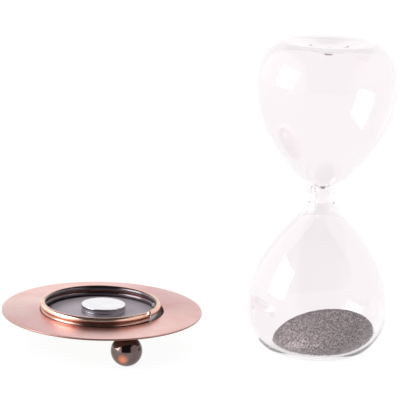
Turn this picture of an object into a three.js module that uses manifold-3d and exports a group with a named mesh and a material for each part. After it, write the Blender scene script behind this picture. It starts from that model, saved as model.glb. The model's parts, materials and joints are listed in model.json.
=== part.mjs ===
// Magnetic hourglass with its desk base.
// A spun copper saucer on three ball feet carries a loose two-turn split ring and two disc
// magnets. Beside it stands a blown hourglass that holds iron filings; turned over, it rests
// on the ring above the magnets. Millimetres, +Z up, origin on the desk at the middle of the
// set: the saucer lies towards -X, the hourglass stands towards +X.
import * as THREE from 'three';
import { mergeVertices } from 'three/addons/utils/BufferGeometryUtils.js';
import Module from 'manifold-3d';

const DEG = Math.PI / 180;

// ---- driving dimensions ----------------------------------------------------------------
const SAUCER_X = -42.05;
const GLASS_X = 55.55;

// saucer: flat rim with a stamped round recess
const SAUCER_R = 45.6;
const SHEET = 0.8;
const RIM_TOP = 14.8;
const RECESS_R = 28.2;
const EDGE_ROUND = 0.3;

// polished steel disc that lines the recess; the magnets grip it
const DISC_R = 27.8;
const DISC_THICK = 0.8;
const FLOOR_DEPTH = 1.4;

// disc magnets, stacked slightly off the centre
const MAGNET_R = 10.0;
const MAGNET_THICK = 2.0;
const MAGNET_BEVEL = 0.25;
const MAGNET_SHIFT_X = 0.6;

// split ring: a rod wound twice, lying on the steel disc; azimuths in degrees from the front
const ROD_R = 1.26;
const RING_MEAN_R = 26.15;
const TURN_PITCH = 2.56;
const RING_SHIFT_X = -0.65;
const RING_GAP = 0.06;
const UPPER_END = 54;
const STEP_START = 59.5;
const STEP_END = 55;
const LOWER_END = 113;
const ROD_SIDES = 12;
const ROD_STATIONS = 134;
const STEP_STATIONS = 6;

// ball feet and the weld studs they screw onto
const BALL_R = 7.0;
const FOOT_CIRCLE_R = 38.2;
const FRONT_FOOT_AZIMUTH = 19.6;
const REAR_FOOT_SPREAD = 143;
const STUD_R = 2.0;
const STUD_LENGTH = 4.0;
const STUD_CLEARANCE = 0.3;

// hourglass, mirrored about the middle of its neck
const GLASS_HEIGHT = 141.6;
const BULB_R = 32.1;
const BULB_WALL = 1.5;
const BULB_WIDEST_Z = 20.5;
const FOOT_IN = 18.5;
const FOOT_OUT = 20.5;
const FOOT_WALL = 1.7;
const DIMPLE_RISE = 3.2;
const DIMPLE_PULL = 10;
const DIMPLE_PUSH = 12;
const NECK_R = 6.6;
const NECK_START_R = 11.3;
const NECK_START_Z = 61.5;
const PASSAGE_R = 1.8;
const PASSAGE_START_R = 10.0;
const PASSAGE_START_Z = 60.8;
const FILL_HOLE_R = 2.2;
const PLUG_CLEARANCE = 0.3;
const PLUG_PROUD = 0.5;

// heap of iron filings in the lower bulb
const HEAP_GAP = 0.35;
const HEAP_TOP_CUT = 30.0;
const HEAP_SHIFT = [3.6, -0.6, 5.6];
const HEAP_RADII = [23.4, 22.5, 10.6];
const HEAP_TILT = 11;

const FINE = 72;
const GLASS_SEGMENTS = 48;
const FOOT_STEPS = 4;
const SHOULDER_STEPS = 6;
const CONE_STEPS = 7;
const NECK_STEPS = 4;

// ---- materials -------------------------------------------------------------------------
function finish(color, roughness, metalness, extra = {}) {
  return new THREE.MeshStandardMaterial({ color, roughness, metalness, ...extra });
}

const copper = finish(0xdf9c86, 0.38, 1.0);
const ringCopper = finish(0xc07a5c, 0.18, 1.0);
const polishedSteel = finish(0x8f888c, 0.15, 1.0);
const nickel = finish(0xd8dade, 0.12, 1.0);
const darkBronze = finish(0x6b5048, 0.12, 1.0);
const studSteel = finish(0x8c8c8c, 0.4, 1.0);
const glass = finish(0xf2ecee, 0.02, 0.0, { transparent: true, opacity: 0.3 });
const filings = finish(0x6f6566, 0.85, 0.3);

// ---- helpers ---------------------------------------------------------------------------
const point = (radius, height) => new THREE.Vector2(radius, height);

function bezier(from, pull, push, to, steps) {
  return new THREE.CubicBezierCurve(from, pull, push, to).getPoints(steps);
}

// Joins stretches of outline, dropping the point that two neighbours share.
function chain(...stretches) {
  const outline = [];
  for (const stretch of stretches) {
    for (const p of stretch) {
      const last = outline[outline.length - 1];
      if (!last || last.distanceTo(p) > 1e-6) {
        outline.push(p);
      }
    }
  }
  return outline;
}

// Turns an outline of (radius, height) points about the vertical axis.
function turned(outline, segments) {
  const geometry = new THREE.LatheGeometry(outline, segments);
  geometry.rotateX(Math.PI / 2);
  return geometry;
}

function addMesh(parent, name, geometry, material) {
  const mesh = new THREE.Mesh(geometry, material);
  mesh.name = name;
  parent.add(mesh);
  return mesh;
}

// ---- saucer ----------------------------------------------------------------------------
const UNDERSIDE = RIM_TOP - SHEET;
const DISC_TOP = RIM_TOP - FLOOR_DEPTH;
const DISC_BOTTOM = DISC_TOP - DISC_THICK;
const PAN_BOTTOM = DISC_BOTTOM - SHEET;
const PAN_R = RECESS_R + SHEET;

function saucerGeometry() {
  const edge = SAUCER_R;
  return turned([
    point(0, PAN_BOTTOM),
    point(PAN_R - SHEET, PAN_BOTTOM),
    point(PAN_R, PAN_BOTTOM + SHEET / 2),
    point(PAN_R, UNDERSIDE),
    point(edge - EDGE_ROUND, UNDERSIDE),
    point(edge, UNDERSIDE + EDGE_ROUND),
    point(edge, RIM_TOP - EDGE_ROUND),
    point(edge - EDGE_ROUND, RIM_TOP),
    point(RECESS_R + EDGE_ROUND, RIM_TOP),
    point(RECESS_R, RIM_TOP - EDGE_ROUND),
    point(RECESS_R, DISC_BOTTOM),
    point(0, DISC_BOTTOM),
  ], FINE);
}

function discGeometry(radius, bottom, top, bevel) {
  return turned([
    point(0, bottom),
    point(radius - bevel, bottom),
    point(radius, bottom + bevel),
    point(radius, top - bevel),
    point(radius - bevel, top),
    point(0, top),
  ], FINE);
}

// ---- split ring ------------------------------------------------------------------------
// The rod starts at its upper end, runs once round on the upper level, steps down beside its
// own start and runs round again below. Azimuth is measured from -Y towards +X.
function rodCentre(sweep) {
  const azimuth = (UPPER_END - sweep) * DEG;
  const stepAt = sweep - (360 + UPPER_END - STEP_START);
  const fallen = THREE.MathUtils.smoothstep(stepAt, 0, STEP_START - STEP_END);
  return { azimuth, height: ROD_R + TURN_PITCH * (1 - fallen) };
}

// Every section of the rod stands in a plane through the ring's axis, so that the short step
// doesn't fold into itself.
function splitRingGeometry() {
  const whole = UPPER_END - LOWER_END + 720;
  const stepFrom = 360 + UPPER_END - STEP_START;
  const stepTo = 360 + UPPER_END - STEP_END;
  const sweeps = [];
  for (let i = 0; i <= ROD_STATIONS; i += 1) {
    const sweep = (whole * i) / ROD_STATIONS;
    if (sweep < stepFrom || sweep > stepTo) {
      sweeps.push(sweep);
    }
  }
  for (let i = 0; i <= STEP_STATIONS; i += 1) {
    sweeps.push(THREE.MathUtils.lerp(stepFrom, stepTo, i / STEP_STATIONS));
  }
  sweeps.sort((one, other) => one - other);

  const positions = [];
  const triangles = [];
  const stand = (radius, azimuth, height) => {
    positions.push(radius * Math.sin(azimuth), -radius * Math.cos(azimuth), height);
  };
  for (const sweep of sweeps) {
    const { azimuth, height } = rodCentre(sweep);
    for (let k = 0; k < ROD_SIDES; k += 1) {
      const angle = (2 * Math.PI * k) / ROD_SIDES;
      stand(RING_MEAN_R + ROD_R * Math.cos(angle), azimuth, height + ROD_R * Math.sin(angle));
    }
  }
  for (let i = 0; i + 1 < sweeps.length; i += 1) {
    for (let k = 0; k < ROD_SIDES; k += 1) {
      const next = (k + 1) % ROD_SIDES;
      const near = i * ROD_SIDES;
      const far = near + ROD_SIDES;
      triangles.push(near + k, near + next, far + next, near + k, far + next, far + k);
    }
  }
  const first = sweeps.length * ROD_SIDES;
  const last = first + 1;
  const start = rodCentre(0);
  const end = rodCentre(whole);
  stand(RING_MEAN_R, start.azimuth, start.height);
  stand(RING_MEAN_R, end.azimuth, end.height);
  const endRow = (sweeps.length - 1) * ROD_SIDES;
  for (let k = 0; k < ROD_SIDES; k += 1) {
    const next = (k + 1) % ROD_SIDES;
    triangles.push(first, next, k);
    triangles.push(last, endRow + k, endRow + next);
  }
  const geometry = new THREE.BufferGeometry();
  geometry.setAttribute('position', new THREE.Float32BufferAttribute(positions, 3));
  geometry.setIndex(triangles);
  geometry.computeVertexNormals();
  return geometry;
}

// ---- ball feet -------------------------------------------------------------------------
// A ball with a blind hole in its top for the stud.
function ballGeometry() {
  const holeR = STUD_R + STUD_CLEARANCE;
  const mouth = Math.sqrt(BALL_R ** 2 - holeR ** 2);
  const steps = 16;
  const mouthAngle = Math.atan2(mouth, holeR);
  const outline = [];
  for (let i = 0; i <= steps; i += 1) {
    const angle = THREE.MathUtils.lerp(-Math.PI / 2, mouthAngle, i / steps);
    const radius = i === 0 ? 0 : BALL_R * Math.cos(angle);
    outline.push(point(radius, BALL_R + BALL_R * Math.sin(angle)));
  }
  const holeBottom = 2 * BALL_R - STUD_LENGTH - STUD_CLEARANCE;
  outline.push(point(holeR, holeBottom), point(0, holeBottom));
  return turned(outline, 32);
}

function studGeometry() {
  const geometry = new THREE.CylinderGeometry(STUD_R, STUD_R, STUD_LENGTH, 24);
  geometry.rotateX(Math.PI / 2);
  geometry.translate(0, 0, UNDERSIDE - STUD_LENGTH / 2);
  return geometry;
}

// ---- hourglass -------------------------------------------------------------------------
const MIDDLE = GLASS_HEIGHT / 2;

// Outside of the lower half, from the middle of the end dimple up to the neck.
function outsideHalf(startR) {
  const foot = bezier(
    point(startR, DIMPLE_RISE),
    point(DIMPLE_PULL, DIMPLE_RISE),
    point(DIMPLE_PUSH, 0),
    point(FOOT_IN, 0),
    FOOT_STEPS,
  );
  const shoulder = bezier(
    point(FOOT_OUT, 0),
    point(FOOT_OUT + 3.5, 0.5),
    point(BULB_R, BULB_WIDEST_Z - 12.5),
    point(BULB_R, BULB_WIDEST_Z),
    SHOULDER_STEPS,
  );
  const cone = bezier(
    point(BULB_R, BULB_WIDEST_Z),
    point(BULB_R, BULB_WIDEST_Z + 12),
    point(NECK_START_R + 16.3, NECK_START_Z - 17),
    point(NECK_START_R, NECK_START_Z),
    CONE_STEPS,
  );
  const neck = bezier(
    point(NECK_START_R, NECK_START_Z),
    point(NECK_START_R - 3, NECK_START_Z + 3.1),
    point(NECK_R, MIDDLE - 3.3),
    point(NECK_R, MIDDLE),
    NECK_STEPS,
  );
  return chain(foot, shoulder, cone, neck);
}

// Inside of the lower half; inset moves the outline further in, away from the wall.
function insideHalf(startR, inset) {
  const floor = FOOT_WALL + inset;
  const widest = BULB_R - BULB_WALL - inset;
  const passageStart = PASSAGE_START_R - inset;
  const foot = bezier(
    point(startR, DIMPLE_RISE + floor),
    point(DIMPLE_PULL, DIMPLE_RISE + floor),
    point(DIMPLE_PUSH, floor),
    point(FOOT_IN + 0.5, floor),
    FOOT_STEPS,
  );
  const shoulder = bezier(
    point(FOOT_IN + 0.5, floor),
    point(FOOT_IN + 4.8, floor + 0.4),
    point(widest, BULB_WIDEST_Z - 11.2),
    point(widest, BULB_WIDEST_Z),
    SHOULDER_STEPS,
  );
  const cone = bezier(
    point(widest, BULB_WIDEST_Z),
    point(widest, BULB_WIDEST_Z + 11.5),
    point(passageStart + 15.9, PASSAGE_START_Z - 16.6),
    point(passageStart, PASSAGE_START_Z),
    CONE_STEPS,
  );
  const passage = bezier(
    point(passageStart, PASSAGE_START_Z),
    point(passageStart - 3.6, PASSAGE_START_Z + 3.8),
    point(PASSAGE_R - inset, MIDDLE - 3.4),
    point(PASSAGE_R - inset, MIDDLE),
    NECK_STEPS,
  );
  return chain(foot, shoulder, cone, passage);
}

const mirrored = (outline) => outline.map((p) => point(p.x, GLASS_HEIGHT - p.y)).reverse();

function hourglassGeometry() {
  const outside = chain(outsideHalf(0), mirrored(outsideHalf(FILL_HOLE_R)));
  const inside = chain(insideHalf(0, 0), mirrored(insideHalf(FILL_HOLE_R, 0)));
  return turned([...outside, ...inside.reverse()], GLASS_SEGMENTS);
}

function plugGeometry() {
  const radius = FILL_HOLE_R - PLUG_CLEARANCE;
  const top = GLASS_HEIGHT - DIMPLE_RISE;
  const bottom = top - FOOT_WALL;
  return turned([
    point(0, bottom),
    point(radius, bottom),
    point(radius, top),
    point(radius * 0.6, top + PLUG_PROUD * 0.8),
    point(0, top + PLUG_PROUD),
  ], 24);
}

// ---- filings ---------------------------------------------------------------------------
const manifold = await Module();
manifold.setup();

function toSolid(geometry) {
  const bare = geometry.clone();
  bare.deleteAttribute('normal');
  bare.deleteAttribute('uv');
  const merged = mergeVertices(bare, 1e-4);
  return new manifold.Manifold(new manifold.Mesh({
    numProp: 3,
    vertProperties: new Float32Array(merged.attributes.position.array),
    triVerts: new Uint32Array(merged.index.array),
  }));
}

function fromSolid(solid) {
  const mesh = solid.getMesh();
  const geometry = new THREE.BufferGeometry();
  geometry.setAttribute('position', new THREE.BufferAttribute(mesh.vertProperties, 3));
  geometry.setIndex(new THREE.BufferAttribute(mesh.triVerts, 1));
  geometry.computeVertexNormals();
  return geometry;
}

// A leaning mound, cut to the inside of the bulb that it lies in.
function heapGeometry() {
  const bowl = insideHalf(0, HEAP_GAP).filter((p) => p.y < HEAP_TOP_CUT);
  bowl.push(point(0, bowl[bowl.length - 1].y));
  const mound = new THREE.SphereGeometry(1, 40, 20);
  mound.scale(...HEAP_RADII);
  mound.rotateY(-HEAP_TILT * DEG);
  mound.translate(...HEAP_SHIFT);
  return fromSolid(toSolid(turned(bowl, GLASS_SEGMENTS)).intersect(toSolid(mound)));
}

// ---- assembly --------------------------------------------------------------------------
const set = new THREE.Group();

const base = new THREE.Group();
base.position.x = SAUCER_X;
set.add(base);

addMesh(base, 'saucer_plate', saucerGeometry(), copper);
addMesh(base, 'seat_disc', discGeometry(DISC_R, DISC_BOTTOM, DISC_TOP, 0.1), polishedSteel);

const lowerTop = DISC_TOP + MAGNET_THICK;
const upperTop = lowerTop + MAGNET_THICK;
const magnets = [
  ['lower_magnet', DISC_TOP, lowerTop],
  ['upper_magnet', lowerTop, upperTop],
];
for (const [name, bottom, top] of magnets) {
  const magnet = addMesh(base, name, discGeometry(MAGNET_R, bottom, top, MAGNET_BEVEL), nickel);
  magnet.position.x = MAGNET_SHIFT_X;
}

const ring = addMesh(base, 'split_ring', splitRingGeometry(), ringCopper);
ring.position.set(RING_SHIFT_X, 0, DISC_TOP + RING_GAP);

const footAzimuths = [
  ['front', FRONT_FOOT_AZIMUTH],
  ['left', FRONT_FOOT_AZIMUTH - REAR_FOOT_SPREAD],
  ['right', FRONT_FOOT_AZIMUTH + REAR_FOOT_SPREAD],
];
for (const [side, azimuth] of footAzimuths) {
  const x = FOOT_CIRCLE_R * Math.sin(azimuth * DEG);
  const y = -FOOT_CIRCLE_R * Math.cos(azimuth * DEG);
  addMesh(base, `ball_foot_${side}`, ballGeometry(), darkBronze).position.set(x, y, 0);
  addMesh(base, `foot_stud_${side}`, studGeometry(), studSteel).position.set(x, y, 0);
}

const timer = new THREE.Group();
timer.position.x = GLASS_X;
set.add(timer);

addMesh(timer, 'hourglass_glass', hourglassGeometry(), glass);
addMesh(timer, 'fill_hole_seal', plugGeometry(), glass);
addMesh(timer, 'iron_filings', heapGeometry(), filings);

export default set;
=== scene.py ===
"""Magnetic hourglass beside its copper base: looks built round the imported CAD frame."""

import json
import math
import random

import bmesh
import bpy
import numpy as np
from mathutils import Matrix, Vector, noise


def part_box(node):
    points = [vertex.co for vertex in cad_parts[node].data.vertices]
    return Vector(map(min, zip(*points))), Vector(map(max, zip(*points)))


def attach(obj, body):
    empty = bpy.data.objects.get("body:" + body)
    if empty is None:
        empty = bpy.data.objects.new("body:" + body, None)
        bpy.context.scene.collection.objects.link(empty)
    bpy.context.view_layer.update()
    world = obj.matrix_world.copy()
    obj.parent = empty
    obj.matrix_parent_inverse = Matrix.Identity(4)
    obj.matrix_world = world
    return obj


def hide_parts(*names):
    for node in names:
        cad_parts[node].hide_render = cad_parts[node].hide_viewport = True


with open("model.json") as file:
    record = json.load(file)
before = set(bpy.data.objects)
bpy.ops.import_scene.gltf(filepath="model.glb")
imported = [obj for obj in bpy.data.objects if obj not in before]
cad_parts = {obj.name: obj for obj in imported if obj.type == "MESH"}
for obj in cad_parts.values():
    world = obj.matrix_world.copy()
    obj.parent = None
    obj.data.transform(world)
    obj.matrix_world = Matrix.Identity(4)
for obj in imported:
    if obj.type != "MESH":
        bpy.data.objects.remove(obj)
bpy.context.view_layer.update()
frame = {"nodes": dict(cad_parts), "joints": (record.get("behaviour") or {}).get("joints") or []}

MM = 0.001
TAU = 2 * math.pi
scene = bpy.context.scene


# ---- places, from the frame --------------------------------------------------------------
def middle(node):
    low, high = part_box(node)
    return (low + high) / 2


SAUCER = middle("saucer_plate")
SAUCER_LOW, SAUCER_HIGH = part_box("saucer_plate")
SAUCER_R = (SAUCER_HIGH.x - SAUCER_LOW.x) / 2
SAUCER_CENTRE = (SAUCER.x, SAUCER.y, 0)
RIM_TOP = SAUCER_HIGH.z
DISC_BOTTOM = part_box("seat_disc")[0].z
MAGNET_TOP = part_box("upper_magnet")[1].z
RING_PLACE = Vector(next(j for j in frame["joints"] if j["name"] == "ring_turn")["pos_m"])
GLASS = middle("hourglass_glass")
GLASS_LOW, GLASS_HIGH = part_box("hourglass_glass")
BULB_R = (GLASS_HIGH.x - GLASS_LOW.x) / 2

# ---- saucer sizes ------------------------------------------------------------------------
SHEET = 0.8 * MM
RECESS_R = 28.2 * MM
PAN_BEND_R = 0.8 * MM
PAN_CHAMFER = 0.3 * MM
EDGE_R = 0.38 * MM
LIP_R = 0.3 * MM
DISC_EDGE_R = 0.1 * MM
MAGNET_EDGE_R = 0.24 * MM

# ---- split ring sizes; azimuths in degrees from -Y towards +X ----------------------------
ROD_R = 1.26 * MM
ROD_END_R = 0.22 * MM
RING_MEAN_R = 26.15 * MM
TURN_PITCH = 2.56 * MM
UPPER_END = 54
STEP_START = 59.5
STEP_END = 55
LOWER_END = 113
WHOLE_SWEEP = UPPER_END - LOWER_END + 720
STEP_FROM = 360 + UPPER_END - STEP_START
STEP_TO = 360 + UPPER_END - STEP_END

# ---- hourglass outline, in millimetres from the foot and the axis -------------------------
MIDDLE = 70.8
WIDEST_R = 32.1
WIDEST_Z = 20.5
FOOT_IN = 18.5
FOOT_OUT = 20.5
DIMPLE_RISE = 3.2
DIMPLE_PULL = 10
DIMPLE_PUSH = 12
NECK_R = 6.6
WALL = 0.8
FOOT_WALL = 0.9
PASSAGE_R = 2.6

# ---- filings; spans are a grain's half length, width and thickness in millimetres ---------
VOXEL = 0.55 * MM
HEAP_INSET_MM = 0.3
LUMPS_MM = 0.35
GRAINS = 15000
SCATTER = 0.4 * MM
GRAIN_SPANS = ((0.16, 0.36), (0.14, 0.28), (0.12, 0.24))


# ---- mesh helpers ------------------------------------------------------------------------
def new_object(name, verts, faces, smooth=True):
    mesh = bpy.data.meshes.new(name)
    mesh.from_pydata([tuple(v) for v in verts], [], faces)
    mesh.validate()
    mesh.update()
    mesh.polygons.foreach_set("use_smooth", [smooth] * len(mesh.polygons))
    obj = bpy.data.objects.new(name, mesh)
    scene.collection.objects.link(obj)
    return obj


def bezier(p0, p1, p2, p3, steps):
    """Points along one cubic stretch, both ends included."""
    points = []
    for i in range(steps + 1):
        t = i / steps
        s = 1 - t
        weights = (s ** 3, 3 * s * s * t, 3 * s * t * t, t ** 3)
        points.append(tuple(
            sum(w * p[axis] for w, p in zip(weights, (p0, p1, p2, p3)))
            for axis in (0, 1)
        ))
    return points


def arc(centre, radius, start, end, steps):
    """Points on a circle in the outline's plane, angles in degrees from +radius."""
    points = []
    for i in range(steps + 1):
        a = math.radians(start + (end - start) * i / steps)
        points.append((centre[0] + radius * math.cos(a), centre[1] + radius * math.sin(a)))
    return points


def chain(*stretches):
    """Joins stretches of outline, dropping points that two neighbours share."""
    outline = []
    for stretch in stretches:
        for p in stretch:
            if not outline or math.dist(outline[-1], p) > 1e-8:
                outline.append(p)
    return outline


def turned_parts(outline, segments, centre, verts, faces):
    """Turns a (radius, height) outline that starts and ends on the axis."""
    cx, cy = centre
    rings = []
    for r, z in outline:
        if r < 1e-7:
            rings.append([len(verts)])
            verts.append((cx, cy, z))
        else:
            rings.append(list(range(len(verts), len(verts) + segments)))
            for k in range(segments):
                a = TAU * k / segments
                verts.append((cx + r * math.cos(a), cy + r * math.sin(a), z))
    for lower, upper in zip(rings, rings[1:]):
        for k in range(segments):
            n = (k + 1) % segments
            if len(lower) == 1:
                faces.append((lower[0], upper[n], upper[k]))
            elif len(upper) == 1:
                faces.append((lower[k], lower[n], upper[0]))
            else:
                faces.append((lower[k], lower[n], upper[n], upper[k]))


def turned(name, outline, segments, centre):
    verts, faces = [], []
    turned_parts(outline, segments, (centre.x, centre.y), verts, faces)
    return new_object(name, verts, faces)


def rod_faces(first, rows, sides):
    """A closed rod over rows of vertices that start at number first; the far end comes last."""
    faces = []
    for row in range(rows - 1):
        near = first + row * sides
        far = near + sides
        for k in range(sides):
            n = (k + 1) % sides
            faces.append((near + k, near + n, far + n, far + k))
    last = first + (rows - 1) * sides
    faces.append(tuple(range(first + sides - 1, first - 1, -1)))
    faces.append(tuple(range(last, last + sides)))
    return faces


def wear(obj, shader):
    obj.data.materials.clear()
    obj.data.materials.append(shader.material)


# ---- material helpers --------------------------------------------------------------------
class Shader:
    """A Principled material with short ways to add nodes."""

    def __init__(self, name, metallic=0.0):
        self.material = bpy.data.materials.new(name)
        self.material.use_nodes = True
        self.tree = self.material.node_tree
        self.principled = next(n for n in self.tree.nodes if n.type == "BSDF_PRINCIPLED")
        self.set("Metallic", metallic)

    def set(self, socket, value):
        """Gives the shader a value that is the same all over."""
        self.principled.inputs[socket].default_value = value

    def drive(self, socket, source):
        """Gives the shader a value that changes over the surface."""
        self.link(source, self.principled.inputs[socket])

    def node(self, kind, **settings):
        made = self.tree.nodes.new(kind)
        for key, value in settings.items():
            setattr(made, key, value)
        return made

    def link(self, source, target):
        self.tree.links.new(source, target)

    def math(self, operation, *values):
        made = self.node("ShaderNodeMath", operation=operation)
        for socket, value in zip(made.inputs, values):
            if isinstance(value, (int, float)):
                socket.default_value = value
            else:
                self.link(value, socket)
        return made.outputs[0]

    def place(self, offset=(0, 0, 0), scale=(1, 1, 1)):
        """The piece's own coordinates, moved and scaled."""
        coords = self.node("ShaderNodeTexCoord")
        mapping = self.node("ShaderNodeMapping")
        mapping.inputs["Location"].default_value = [-o * s for o, s in zip(offset, scale)]
        mapping.inputs["Scale"].default_value = scale
        self.link(coords.outputs["Object"], mapping.inputs["Vector"])
        return mapping.outputs["Vector"]

    def axes(self, offset=(0, 0, 0)):
        """The piece's own X, Y and Z, each by itself."""
        split = self.node("ShaderNodeSeparateXYZ")
        self.link(self.place(offset=offset), split.inputs[0])
        return split.outputs["X"], split.outputs["Y"], split.outputs["Z"]

    def noise(self, vector, scale, detail=3.0):
        made = self.node("ShaderNodeTexNoise")
        made.inputs["Scale"].default_value = scale
        made.inputs["Detail"].default_value = detail
        made.inputs["Roughness"].default_value = 0.55
        self.link(vector, made.inputs["Vector"])
        return made.outputs["Fac"]

    def ramp(self, factor, *stops):
        made = self.node("ShaderNodeValToRGB")
        elements = made.color_ramp.elements
        while len(elements) < len(stops):
            elements.new(0.5)
        for element, (position, color) in zip(elements, stops):
            element.position = position
            element.color = (*color, 1)
        self.link(factor, made.inputs["Fac"])
        return made.outputs["Color"]

    def spread(self, factor, low, high):
        """Maps 0..1 to low..high."""
        made = self.node("ShaderNodeMapRange")
        made.inputs["To Min"].default_value = low
        made.inputs["To Max"].default_value = high
        self.link(factor, made.inputs["Value"])
        return made.outputs["Result"]

    def fade(self, value, start, end):
        """0 at start, going smoothly to 1 at end."""
        made = self.node("ShaderNodeMapRange", interpolation_type="SMOOTHSTEP")
        made.inputs["From Min"].default_value = start
        made.inputs["From Max"].default_value = end
        self.link(value, made.inputs["Value"])
        return made.outputs["Result"]

    def mix(self, factor, a, b, blend="MIX"):
        made = self.node("ShaderNodeMix", data_type="RGBA", blend_type=blend)
        sockets = [s for s in made.inputs if s.type == "RGBA"]
        if isinstance(factor, (int, float)):
            made.inputs["Factor"].default_value = factor
        else:
            self.link(factor, made.inputs["Factor"])
        for socket, value in zip(sockets, (a, b)):
            if isinstance(value, tuple):
                socket.default_value = (*value, 1)
            else:
                self.link(value, socket)
        return next(s for s in made.outputs if s.type == "RGBA")

    def bump(self, height, strength, distance):
        made = self.node("ShaderNodeBump")
        made.inputs["Strength"].default_value = strength
        made.inputs["Distance"].default_value = distance
        self.link(height, made.inputs["Height"])
        self.drive("Normal", made.outputs["Normal"])

    def radius_about(self, centre):
        x, y, _ = self.axes(offset=centre)
        squares = self.math("ADD", self.math("MULTIPLY", x, x), self.math("MULTIPLY", y, y))
        return self.math("SQRT", squares)

    def azimuth_about(self, centre):
        x, y, _ = self.axes(offset=centre)
        return self.math("ARCTAN2", y, x)

    def rings_about(self, centre, per_metre):
        """Fine lathe marks: noise that varies with the radius and hardly round the turn."""
        join = self.node("ShaderNodeCombineXYZ")
        self.link(self.math("MULTIPLY", self.radius_about(centre), per_metre), join.inputs["X"])
        self.link(self.math("MULTIPLY", self.azimuth_about(centre), 0.6), join.inputs["Y"])
        return self.noise(join.outputs[0], 1.0, detail=2.0)

    def painted_sheen_about(self, centre, brightest):
        """0..1 twice round a turn: painted sheen, the bright and dull wedges of light on a spun face.
        """
        from_brightest = self.math("SUBTRACT", self.azimuth_about(centre), math.radians(brightest))
        twice = self.math("MULTIPLY", from_brightest, 2.0)
        return self.math("MULTIPLY_ADD", self.math("COSINE", twice), 0.5, 0.5)


# ---- materials ---------------------------------------------------------------------------
def satin_copper():
    """Spun copper plating with painted sheen in wedges, and painted shade making everything below the
    rim's face dark.
    """
    s = Shader("satin_copper", metallic=1.0)
    marks = s.rings_about(SAUCER_CENTRE, 2600)
    clouds = s.noise(s.place(), 32, detail=5)
    tone = s.ramp(clouds, (0.36, (0.86, 0.49, 0.46)), (0.64, (1.0, 0.73, 0.70)))
    grooves = s.ramp(marks, (0.35, (0.95, 0.95, 0.95)), (0.65, (1, 1, 1)))
    # Painted sheen: bright and dull wedges of reflected light, fixed round the saucer, darken the
    # plating in the dull ones.
    painted_sheen = s.ramp(s.painted_sheen_about(SAUCER_CENTRE, -45), (0.0, (0.80, 0.74, 0.76)), (0.8, (1, 1, 1)))
    plating_and_painted_sheen = s.mix(1.0, s.mix(1.0, tone, grooves, "MULTIPLY"), painted_sheen, "MULTIPLY")
    _, _, height = s.axes()
    # Painted shade: the underside, the rim's edge and the recess wall go dark brown.
    below = s.fade(height, RIM_TOP - 0.05 * MM, RIM_TOP - 0.3 * MM)
    s.drive("Base Color", s.mix(below, plating_and_painted_sheen, (0.26, 0.13, 0.10)))
    s.drive("Roughness", s.spread(clouds, 0.26, 0.38))
    s.set("Anisotropic", 0.35)
    s.drive("Tangent", s.node("ShaderNodeTangent", direction_type="RADIAL", axis="Z").outputs[0])
    s.bump(marks, 0.10, 0.02 * MM)
    return s


def antique_copper():
    """Copper that is dark with patina on the side facing the ring's middle, with painted shade making
    the lower turn darker.
    """
    s = Shader("antique_copper", metallic=1.0)
    smudge = s.noise(s.place(), 160, detail=5)
    dull, clean, bright = (0.76, 0.43, 0.31), (0.9, 0.6, 0.48), (0.93, 0.68, 0.57)
    tone = s.ramp(smudge, (0.3, dull), (0.55, clean), (0.8, bright))
    radius = s.radius_about((RING_PLACE.x, RING_PLACE.y, 0))
    inner = s.fade(radius, RING_MEAN_R - 0.1 * MM, RING_MEAN_R - 1.0 * MM)
    _, _, height = s.axes()
    # Painted shade: the lower turn, under the upper one, is made darker copper.
    lower = s.fade(height, RING_PLACE.z + 2.9 * MM, RING_PLACE.z + 2.2 * MM)
    shaded = s.mix(lower, tone, (0.42, 0.24, 0.2))
    s.drive("Base Color", s.mix(inner, shaded, (0.13, 0.11, 0.12)))
    s.drive("Roughness", s.spread(smudge, 0.12, 0.24))
    s.bump(s.noise(s.place(), 900, detail=2), 0.06, 0.02 * MM)
    return s


def gunmetal():
    """Satin grey, with painted shade making it dark round the edge, where the ring lies."""
    s = Shader("satin_gunmetal", metallic=0.5)
    haze = s.noise(s.place(), 70, detail=4)
    tone = s.ramp(haze, (0.3, (0.49, 0.435, 0.48)), (0.7, (0.58, 0.515, 0.565)))
    # Painted shade: the floor goes near black round its edge, under the ring.
    edge = s.fade(s.radius_about(SAUCER_CENTRE), 24.0 * MM, 26.0 * MM)
    s.drive("Base Color", s.mix(edge, tone, (0.05, 0.035, 0.035)))
    s.drive("Roughness", s.spread(haze, 0.44, 0.54))
    s.set("Specular IOR Level", 0.12)
    s.bump(s.rings_about(SAUCER_CENTRE, 1800), 0.05, 0.01 * MM)
    return s


def bright_nickel():
    """Bright top face, with painted shade making the sides darker."""
    s = Shader("bright_nickel", metallic=1.0)
    haze = s.noise(s.place(), 220, detail=5)
    tone = s.ramp(haze, (0.3, (0.80, 0.80, 0.84)), (0.7, (0.9, 0.9, 0.94)))
    _, _, height = s.axes()
    # Painted shade: each magnet's sides are darker than its top face.
    side = s.fade(height, MAGNET_TOP - 0.15 * MM, MAGNET_TOP - 0.45 * MM)
    s.drive("Base Color", s.mix(side, tone, (0.36, 0.35, 0.37)))
    s.drive("Roughness", s.spread(haze, 0.14, 0.26))
    s.bump(s.noise(s.place(scale=(1, 6, 1)), 700, detail=3), 0.05, 0.01 * MM)
    return s


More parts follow.
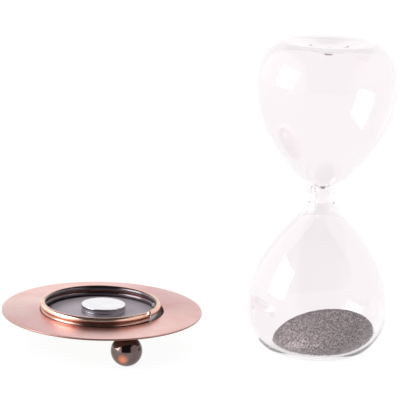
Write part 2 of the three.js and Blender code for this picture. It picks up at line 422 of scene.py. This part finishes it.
def dark_bronze():
    """Polished dark plating, with a painted orange reflection at the front of the front ball."""
    s = Shader("dark_bronze", metallic=1.0)
    haze = s.noise(s.place(), 240, detail=4)
    plating = s.ramp(haze, (0.3, (0.11, 0.078, 0.076)), (0.7, (0.18, 0.13, 0.126)))
    # Painted reflection: a soft orange spot at the front of the front ball.
    painted_reflection_at = middle("ball_foot_front") + Vector((-1.4, -6.2, -2.1)) * MM
    away = s.node("ShaderNodeVectorMath", operation="LENGTH")
    s.link(s.place(offset=tuple(painted_reflection_at)), away.inputs[0])
    painted_reflection = s.fade(away.outputs["Value"], 3.3 * MM, 0.2 * MM)
    s.drive("Base Color", s.mix(painted_reflection, plating, (0.75, 0.28, 0.15)))
    s.drive("Roughness", s.spread(haze, 0.05, 0.11))
    return s


def plain_steel():
    s = Shader("plain_steel", metallic=1.0)
    grain = s.noise(s.place(), 1500, detail=3)
    s.set("Base Color", (0.55, 0.55, 0.56, 1))
    s.drive("Roughness", s.spread(grain, 0.28, 0.45))
    s.bump(grain, 0.1, 0.02 * MM)
    return s


def cut_steel_and_painted_glint():
    """The bare, sawn lower end of the ring's rod, near white: partly the bare steel, partly a painted
    highlight.
    """
    s = Shader("cut_steel_and_painted_glint")
    saw = s.noise(s.place(scale=(1, 1, 5)), 1800, detail=2)
    # Painted highlight: the sawn end is near white, brighter than bare steel.
    s.drive("Base Color", s.ramp(saw, (0.3, (0.8, 0.79, 0.78)), (0.7, (0.97, 0.96, 0.95))))
    s.set("Roughness", 0.5)
    return s


def blown_glass():
    """Thin clear glass; light that has bounced more than four times goes straight through."""
    s = Shader("blown_glass")
    s.set("Base Color", (0.945, 0.918, 0.929, 1))
    s.set("Roughness", 0.0)
    s.set("Transmission Weight", 1.0)
    s.set("IOR", 1.36)
    s.bump(s.noise(s.place(scale=(1, 1, 0.35)), 42, detail=1.5), 0.12, 0.12 * MM)
    path = s.node("ShaderNodeLightPath")
    straight = s.node("ShaderNodeBsdfTransparent")
    choose = s.node("ShaderNodeMixShader")
    s.link(s.math("GREATER_THAN", path.outputs["Ray Depth"], 4.5), choose.inputs["Fac"])
    s.link(s.principled.outputs[0], choose.inputs[1])
    s.link(straight.outputs[0], choose.inputs[2])
    output = next(n for n in s.tree.nodes if n.type == "OUTPUT_MATERIAL")
    s.link(choose.outputs[0], output.inputs["Surface"])
    return s


def seal_glass():
    """Melted glass of the seal, browned by the flame."""
    s = Shader("seal_glass")
    brown = s.noise(s.place(), 260, detail=3)
    s.drive("Base Color", s.ramp(brown, (0.35, (0.3, 0.21, 0.18)), (0.65, (0.7, 0.62, 0.6))))
    s.set("Roughness", 0.12)
    s.set("Transmission Weight", 0.4)
    s.set("IOR", 1.36)
    return s


def iron_grains():
    """The shade varies from grain to grain, and over small cells of the surface."""
    s = Shader("iron_grains", metallic=0.35)
    island = s.node("ShaderNodeNewGeometry").outputs["Random Per Island"]
    cells = s.node("ShaderNodeTexVoronoi")
    cells.inputs["Scale"].default_value = 2300
    s.link(s.place(), cells.inputs["Vector"])
    speck = s.math("MULTIPLY_ADD", cells.outputs["Color"], 0.6, s.math("MULTIPLY", island, 0.4))
    dark, grey, light = (0.02, 0.016, 0.017), (0.12, 0.098, 0.102), (0.42, 0.36, 0.37)
    s.drive("Base Color", s.ramp(speck, (0.2, dark), (0.5, grey), (0.8, light)))
    s.drive("Roughness", s.spread(speck, 0.75, 0.42))
    s.bump(cells.outputs["Distance"], 0.4, 0.12 * MM)
    return s


def white_floor():
    s = Shader("white_floor")
    s.set("Base Color", (0.09, 0.09, 0.09, 1))
    s.set("Roughness", 0.6)
    s.set("Specular IOR Level", 0.1)
    s.set("Emission Color", (1.0, 1.0, 1.0, 1))
    s.set("Emission Strength", 0.925)
    return s


# ---- saucer ------------------------------------------------------------------------------
def build_saucer():
    """The spun sheet: pan, recess wall and flat rim with a rounded edge."""
    pan_low = SAUCER_LOW.z
    pan_r = RECESS_R + SHEET
    under = RIM_TOP - SHEET
    edge_in = SAUCER_R - EDGE_R
    outline = chain(
        [(0, pan_low), (pan_r - PAN_BEND_R, pan_low)],
        arc((pan_r - PAN_BEND_R, pan_low + PAN_BEND_R), PAN_BEND_R, -90, 0, 8),
        [(pan_r, under - PAN_CHAMFER), (pan_r + PAN_CHAMFER, under)],
        [(edge_in, under)],
        arc((edge_in, under + EDGE_R), EDGE_R, -90, 0, 6),
        arc((edge_in, RIM_TOP - EDGE_R), EDGE_R, 0, 90, 6),
        [(r * MM, RIM_TOP) for r in (42, 38, 34, 30)],
        arc((RECESS_R + LIP_R, RIM_TOP - LIP_R), LIP_R, 90, 180, 6),
        [(RECESS_R, DISC_BOTTOM), (0, DISC_BOTTOM)],
    )
    saucer = turned("saucer", outline, 256, SAUCER)
    wear(saucer, satin_copper())
    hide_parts("saucer_plate")
    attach(saucer, "base")


def rounded_disc(name, node, corner, segments):
    low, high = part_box(node)
    radius = (high.x - low.x) / 2
    outline = chain(
        [(0, low.z), (radius * 0.5, low.z), (radius - corner, low.z)],
        arc((radius - corner, low.z + corner), corner, -90, 0, 5),
        arc((radius - corner, high.z - corner), corner, 0, 90, 5),
        [(radius * 0.5, high.z), (0, high.z)],
    )
    disc = turned(name, outline, segments, middle(node))
    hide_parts(node)
    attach(disc, "base")
    return disc


def build_seat():
    floor = rounded_disc("seat_floor", "seat_disc", DISC_EDGE_R, 192)
    wear(floor, gunmetal())
    nickel = bright_nickel()
    for name, node in (("magnet_below", "lower_magnet"), ("magnet_above", "upper_magnet")):
        magnet = rounded_disc(name, node, MAGNET_EDGE_R, 128)
        wear(magnet, nickel)


# ---- split ring --------------------------------------------------------------------------
def rod_height(sweep):
    """How high the middle of the rod is after a sweep in degrees from its upper end."""
    t = (sweep - STEP_FROM) / (STEP_TO - STEP_FROM)
    t = min(max(t, 0), 1)
    return ROD_R + TURN_PITCH * (1 - t * t * (3 - 2 * t))


def rod_stations():
    """(sweep, radius) of each section: close together at the step and at the rounded ends."""
    turn_in = math.degrees(ROD_END_R / RING_MEAN_R)
    end = []
    for angle in (0, 22, 45, 68, 90):
        a = math.radians(angle)
        end.append((turn_in * (1 - math.cos(a)), ROD_R - ROD_END_R * (1 - math.sin(a))))
    sweeps = [WHOLE_SWEEP * i / 640 for i in range(1, 640)]
    sweeps = [w for w in sweeps if w < STEP_FROM or w > STEP_TO]
    sweeps += [STEP_FROM + (STEP_TO - STEP_FROM) * i / 24 for i in range(25)]
    body = [(w, ROD_R) for w in sorted(sweeps)]
    return end + body + [(WHOLE_SWEEP - w, radius) for w, radius in reversed(end)]


def build_ring():
    """The rod of the split ring, in upright sections, with both ends slightly rounded over."""
    sides = 32
    stations = rod_stations()
    verts = []
    for sweep, radius in stations:
        azimuth = math.radians(UPPER_END - sweep)
        outward = Vector((math.sin(azimuth), -math.cos(azimuth), 0))
        for k in range(sides):
            a = TAU * k / sides
            reach = RING_MEAN_R + radius * math.cos(a)
            height = rod_height(sweep) + radius * math.sin(a)
            verts.append(RING_PLACE + outward * reach + Vector((0, 0, height)))
    ring = new_object("split_ring_wire", verts, rod_faces(0, len(stations), sides))
    wear(ring, antique_copper())
    ring.data.materials.append(cut_steel_and_painted_glint().material)
    lower_end = ring.data.polygons[len(ring.data.polygons) - 1]
    lower_end.material_index = 1
    lower_end.use_smooth = False
    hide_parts("split_ring")
    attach(ring, "ring")


# ---- feet --------------------------------------------------------------------------------
def build_feet():
    bronze = dark_bronze()
    steel = plain_steel()
    for side in ("front", "left", "right"):
        low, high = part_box(f"ball_foot_{side}")
        radius = (high.x - low.x) / 2
        outline = arc((0, low.z + radius), radius, -90, 90, 96)
        outline[0] = (0, low.z)
        outline[-1] = (0, low.z + 2 * radius)
        ball = turned(f"ball_{side}", outline, 128, (low + high) / 2)
        wear(ball, bronze)
        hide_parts(f"ball_foot_{side}")
        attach(ball, "base")
        stud = frame["nodes"][f"foot_stud_{side}"]
        wear(stud, steel)


# ---- hourglass ---------------------------------------------------------------------------
def mirrored(outline):
    return [(r, 2 * MIDDLE - z) for r, z in reversed(outline)]


def dimple(steps):
    """The hollow in each end of the glass, from its middle to the flat that it stands on."""
    return bezier((0, DIMPLE_RISE), (DIMPLE_PULL, DIMPLE_RISE), (DIMPLE_PUSH, 0), (FOOT_IN, 0), steps)


def outside_half():
    foot_edge = (FOOT_OUT, 0)
    widest = (WIDEST_R, WIDEST_Z)
    neck_start = (11.3, 61.5)
    shoulder = bezier(foot_edge, (24.0, 0.5), (WIDEST_R, 8.0), widest, 40)
    cone = bezier(widest, (WIDEST_R, 32.5), (27.6, 44.5), neck_start, 48)
    neck = bezier(neck_start, (8.3, 64.6), (NECK_R, 67.5), (NECK_R, MIDDLE), 20)
    return chain(dimple(24), [foot_edge], shoulder, cone, neck)


def inside_half():
    hollow_r = WIDEST_R - WALL
    rise = DIMPLE_RISE + FOOT_WALL
    foot_edge = (FOOT_IN + 0.2, FOOT_WALL)
    widest = (hollow_r, WIDEST_Z)
    passage_start = (10.6, 60.9)
    foot = bezier((0, rise), (DIMPLE_PULL, rise), (DIMPLE_PUSH, FOOT_WALL), foot_edge, 24)
    shoulder = bezier(foot_edge, (23.7, 1.3), (hollow_r, 8.6), widest, 40)
    cone = bezier(widest, (hollow_r, 32.2), (26.9, 44.2), passage_start, 48)
    passage = bezier(passage_start, (7.2, 64.4), (PASSAGE_R, 66.6), (PASSAGE_R, MIDDLE), 20)
    return chain(foot, shoulder, cone, passage)


def build_glass():
    """One wall of blown glass: an outer skin and the skin of the hollow inside it."""
    segments = 192
    centre = (GLASS.x, GLASS.y)
    scale = BULB_R / WIDEST_R

    def whole(half):
        return [(r * scale, GLASS_LOW.z + z * MM) for r, z in chain(half, mirrored(half))]

    verts, faces, hollow = [], [], []
    turned_parts(whole(outside_half()), segments, centre, verts, faces)
    turned_parts(whole(inside_half()), segments, centre, verts, hollow)
    faces += [tuple(reversed(f)) for f in hollow]
    glass = new_object("blown_hourglass", verts, faces)
    wear(glass, blown_glass())
    glass.visible_shadow = False
    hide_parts("hourglass_glass")
    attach(glass, "hourglass")


def bead_outline():
    """The plug in the fill hole, with a low dome."""
    low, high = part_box("fill_hole_seal")
    bead_r = (high.x - low.x) / 2
    rise = 0.5 * MM
    outline = [(0, low.z), (bead_r, low.z)]
    for i in range(12):
        a = i / 12 * math.pi / 2
        outline.append((bead_r * math.cos(a), high.z - rise + rise * math.sin(a)))
    return outline + [(0, high.z)]


def build_seal():
    """The melted bead over the fill hole, and the thread of glass left curling round it."""
    thread_r = 0.28 * MM
    lift = 0.12 * MM
    half_length, half_depth = 8.6, 2.8
    start, end = -118, 104
    sides, steps = 8, 40
    verts, faces = [], []
    turned_parts(bead_outline(), 48, (GLASS.x, GLASS.y), verts, faces)
    first = len(verts)
    radii, depths = zip(*dimple(60))
    for i in range(steps + 1):
        t = math.radians(start + (end - start) * i / steps)
        x, y = half_length * math.sin(t), -half_depth * math.cos(t)
        depth = float(np.interp(math.hypot(x, y), radii, depths)) * MM
        along = Vector((half_length * math.cos(t), half_depth * math.sin(t), 0)).normalized()
        aside = Vector((-along.y, along.x, 0))
        centre = Vector((GLASS.x + x * MM, GLASS.y + y * MM, GLASS_HIGH.z - depth + lift))
        taper = math.sqrt(max(0.02, 1 - (2 * i / steps - 1) ** 6))
        for k in range(sides):
            a = TAU * k / sides
            out = aside * math.cos(a) + Vector((0, 0, math.sin(a)))
            verts.append(centre + out * thread_r * taper)
    seal = new_object("melted_seal", verts, faces + rod_faces(first, steps + 1, sides))
    wear(seal, seal_glass())
    seal.visible_shadow = False
    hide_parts("fill_hole_seal")
    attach(seal, "hourglass")


# ---- filings -----------------------------------------------------------------------------
def rough_heap():
    """The CAD heap's shape in small even faces, drawn in a little and roughened."""
    heap = bpy.data.objects.new("filings_heap", frame["nodes"]["iron_filings"].data.copy())
    scene.collection.objects.link(heap)
    remesh = heap.modifiers.new("remesh", "REMESH")
    remesh.mode = "VOXEL"
    remesh.voxel_size = VOXEL
    bpy.context.view_layer.objects.active = heap
    bpy.ops.object.modifier_apply(modifier="remesh")
    rough = []
    for v in heap.data.vertices:
        p, n = Vector(v.co), Vector(v.normal)
        lumps = noise.noise(p * 420) * 0.35 + noise.noise(p * 1300) * 0.22
        rough.append(p - n * (HEAP_INSET_MM + lumps * LUMPS_MM) * MM)
    for v, p in zip(heap.data.vertices, rough):
        v.co = p
    heap.data.update()
    return heap


def build_filings():
    """The heap with loose grains all over it, each a small flattened octahedron."""
    heap = rough_heap()
    bm = bmesh.new()
    bm.from_mesh(heap.data)
    bpy.data.objects.remove(heap)
    bm.faces.ensure_lookup_table()
    verts = [tuple(v.co) for v in bm.verts]
    faces = [tuple(v.index for v in f.verts) for f in bm.faces]
    areas = np.array([f.calc_area() for f in bm.faces])
    pick = np.random.default_rng(11).choice(len(areas), size=GRAINS, p=areas / areas.sum())
    rng = random.Random(7)
    corners = ((1, 0, 0), (-1, 0, 0), (0, 1, 0), (0, -1, 0), (0, 0, 1), (0, 0, -1))
    shell = ((0, 2, 4), (2, 1, 4), (1, 3, 4), (3, 0, 4), (2, 0, 5), (1, 2, 5), (3, 1, 5), (0, 3, 5))
    for index in pick:
        spot = bm.faces[int(index)].calc_center_median()
        spot += Vector((rng.uniform(-1, 1), rng.uniform(-1, 1), rng.uniform(-1, 1))) * SCATTER
        angle = rng.uniform(0, TAU)
        axis = Vector((rng.uniform(-1, 1), rng.uniform(-1, 1), 1))
        turn = Matrix.Rotation(angle, 3, axis)
        size = Vector([rng.uniform(*span) for span in GRAIN_SPANS]) * MM
        first = len(verts)
        verts += [tuple(spot + turn @ (Vector(c) * size)) for c in corners]
        faces += [(first + a, first + b, first + c) for a, b, c in shell]
    bm.free()
    pile = new_object("filings_pile", verts, faces, smooth=False)
    wear(pile, iron_grains())
    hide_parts("iron_filings")
    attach(pile, "filings")


# ---- stage -------------------------------------------------------------------------------
def build_floor():
    half = 6.0
    verts = [(-half, -half, 0), (half, -half, 0), (half, half, 0), (-half, half, 0)]
    floor = new_object("floor", verts, [(0, 1, 2, 3)], smooth=False)
    floor.location.z = -0.02 * MM
    wear(floor, white_floor())


def build_world():
    """White to the eye and through glass; mirrors see a bright backdrop and a softbox on each
    side of a dark room."""
    room_light = 0.045
    world = bpy.data.worlds.new("studio")
    scene.world = world
    world.use_nodes = True
    tree = world.node_tree
    tree.nodes.clear()
    link = tree.links.new
    coords = tree.nodes.new("ShaderNodeTexCoord")
    split = tree.nodes.new("ShaderNodeSeparateXYZ")
    link(coords.outputs["Generated"], split.inputs[0])

    def calc(operation, a, b):
        made = tree.nodes.new("ShaderNodeMath")
        made.operation = operation
        for socket, value in zip(made.inputs, (a, b)):
            if isinstance(value, (int, float)):
                socket.default_value = value
            else:
                link(value, socket)
        return made.outputs[0]

    def step(axis, start, end, to=1.0):
        """0 before start, rising to the given value at end, along one axis of the direction."""
        made = tree.nodes.new("ShaderNodeMapRange")
        made.interpolation_type = "SMOOTHSTEP"
        made.inputs["From Min"].default_value = start
        made.inputs["From Max"].default_value = end
        made.inputs["To Max"].default_value = to
        link(split.outputs[axis], made.inputs["Value"])
        return made.outputs["Result"]

    def background(color):
        made = tree.nodes.new("ShaderNodeBackground")
        made.inputs["Color"].default_value = (*color, 1)
        return made

    backdrop = calc("MULTIPLY", step("Y", 0.0, 0.35, 1.05), step("Z", 0.72, 0.5))
    left_box = calc("MULTIPLY", step("X", -0.5, -0.66, 1.7), step("Z", 0.86, 0.74))
    right_box = calc("MULTIPLY", step("X", 0.4, 0.7, 1.0), step("Z", 0.75, 0.6))
    behind_and_left = calc("MAXIMUM", backdrop, left_box)
    right_and_room = calc("MAXIMUM", right_box, room_light)
    mirror = background((1.0, 0.985, 0.975))
    link(calc("MAXIMUM", behind_and_left, right_and_room), mirror.inputs["Strength"])
    seen = background((1, 1, 1))
    path = tree.nodes.new("ShaderNodeLightPath")
    outside_glass = calc("SUBTRACT", 1.0, calc("MINIMUM", path.outputs["Transmission Depth"], 1.0))
    choose = tree.nodes.new("ShaderNodeMixShader")
    link(calc("MULTIPLY", path.outputs["Is Glossy Ray"], outside_glass), choose.inputs["Fac"])
    link(seen.outputs[0], choose.inputs[1])
    link(mirror.outputs[0], choose.inputs[2])
    output = tree.nodes.new("ShaderNodeOutputWorld")
    link(choose.outputs[0], output.inputs["Surface"])


def build_window():
    """The large window on the left that shows in the glass."""
    place = Vector((-1.1, -0.3, 0.5))
    aim = Vector((0, 0, 0.06))
    data = bpy.data.lights.new("window_left", "AREA")
    data.shape = "RECTANGLE"
    data.size, data.size_y = 0.8, 0.75
    data.energy = 11
    window = bpy.data.objects.new("window_left", data)
    window.location = place
    window.rotation_euler = (aim - place).to_track_quat("-Z", "Y").to_euler()
    scene.collection.objects.link(window)


def build_camera():
    """The photograph's view: a long lens a little above the set, rolled slightly."""
    azimuth = math.radians(-0.25)
    elevation = math.radians(13.62)
    roll = math.radians(2.0)
    aim = Vector((0.9, 0, 67.5)) * MM
    distance = 0.9157
    back = Vector((
        math.sin(azimuth) * math.cos(elevation),
        -math.cos(azimuth) * math.cos(elevation),
        math.sin(elevation),
    ))
    data = bpy.data.cameras.new("camera")
    data.sensor_width = 36
    data.lens = 183.1
    data.clip_start = 0.05
    data.clip_end = 50
    camera = bpy.data.objects.new("camera", data)
    camera.rotation_mode = "QUATERNION"
    camera.location = aim + back * distance
    level = (-back).to_track_quat("-Z", "Y")
    camera.rotation_quaternion = Matrix.Rotation(roll, 4, back).to_quaternion() @ level
    scene.collection.objects.link(camera)
    scene.camera = camera


scene.view_settings.view_transform = "Standard"
build_camera()
build_world()
build_floor()
build_window()
build_saucer()
build_seat()
build_ring()
build_feet()
build_glass()
build_seal()
build_filings()
